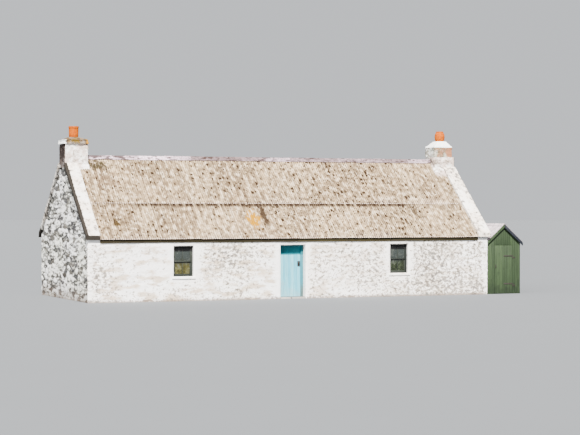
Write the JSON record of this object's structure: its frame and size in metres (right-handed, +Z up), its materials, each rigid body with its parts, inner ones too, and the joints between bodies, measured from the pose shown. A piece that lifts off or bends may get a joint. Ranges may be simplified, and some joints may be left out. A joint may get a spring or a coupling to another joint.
{
  "type": "stone croft cottage with a corrugated sheet roof",
  "caption": "Low limewashed stone cottage with a chimney on each gable, raised skews, a corrugated sheet roof, a boarded front door and a small boarded outhouse.",
  "frame": {"origin": "middle of the four cottage walls at ground level, on the underside of the floor", "axes": "+X along the front wall from left to right as seen from outside, +Y from front to back, +Z up"},
  "size_m": [16.3253, 6.1872, 5.9356],
  "materials": {
    "limewash": "worn limewash over rubble",
    "bare_rubble": "weathered rubble with scraps of limewash",
    "skew_paint": "masonry paint, flaking",
    "cope_stone": "lichen-grown stone and mortar",
    "terracotta": "unglazed fired clay",
    "roof_sheet": "weathered corrugated sheet",
    "ridge_sheet": "weathered sheet",
    "timber": "rough sawn, darkened",
    "flagstone": "worn flags",
    "frame_paint": "old teal paint",
    "door_paint": "sun-bleached blue paint",
    "iron": "rusted",
    "sash_paint": "dark green paint, worn",
    "window_glass": "old glass before a dark room",
    "outhouse_paint": "faded green paint on boards",
    "outhouse_sheet": "dull grey sheet"
  },
  "bodies": {
    "cottage": {"front_wall_left": "limewash", "front_wall_right": "limewash", "front_wall_over_door": "limewash", "back_wall": "limewash", "left_gable_wall": "bare_rubble", "right_gable_wall": "bare_rubble", "left_skew_front": "skew_paint", "left_skew_back": "skew_paint", "right_skew_front": "skew_paint", "right_skew_back": "skew_paint", "left_chimney_stack": "skew_paint", "right_chimney_stack": "skew_paint", "left_chimney_cope": "cope_stone", "right_chimney_cope": "cope_stone", "left_chimney_pot": "terracotta", "right_chimney_pot": "terracotta", "front_roof_upper_sheets": "roof_sheet", "front_roof_lower_sheets": "roof_sheet", "back_roof_upper_sheets": "roof_sheet", "back_roof_lower_sheets": "roof_sheet", "front_eaves_board": "timber", "back_eaves_board": "timber", "ridge_capping": "ridge_sheet", "ridge_tree": "timber", "front_lap_purlin": "timber", "front_eaves_purlin": "timber", "back_lap_purlin": "timber", "back_eaves_purlin": "timber", "roof_couple_1": "timber", "roof_couple_2": "timber", "roof_couple_3": "timber", "roof_couple_4": "timber", "floor": "flagstone", "door_frame": "frame_paint", "front_left_window_frame": "sash_paint", "front_left_window_glass": "window_glass", "front_right_window_frame": "sash_paint", "front_right_window_glass": "window_glass", "back_window_frame": "sash_paint", "back_window_glass": "window_glass", "outhouse_front": "outhouse_paint", "outhouse_left_wall": "outhouse_paint", "outhouse_right_wall": "outhouse_paint", "outhouse_back_wall": "outhouse_paint", "outhouse_roof_left": "outhouse_sheet", "outhouse_roof_right": "outhouse_sheet"},
    "front_door": {"door_leaf": "door_paint", "door_latch": "iron"},
    "shed_door": {"outhouse_door": "outhouse_paint"}
  },
  "joints": [
    {"name": "front_door_hinge", "type": "hinge", "parent": "cottage", "child": "front_door", "pos_m": [-0.552, -2.6607, 0], "axis": [0, 0, 1], "range_deg": [0, 100]},
    {"name": "outhouse_door_hinge", "type": "hinge", "parent": "cottage", "child": "shed_door", "pos_m": [8.45215, -2.9093, 0], "axis": [0, 0, 1], "range_deg": [0, 110]}
  ]
}
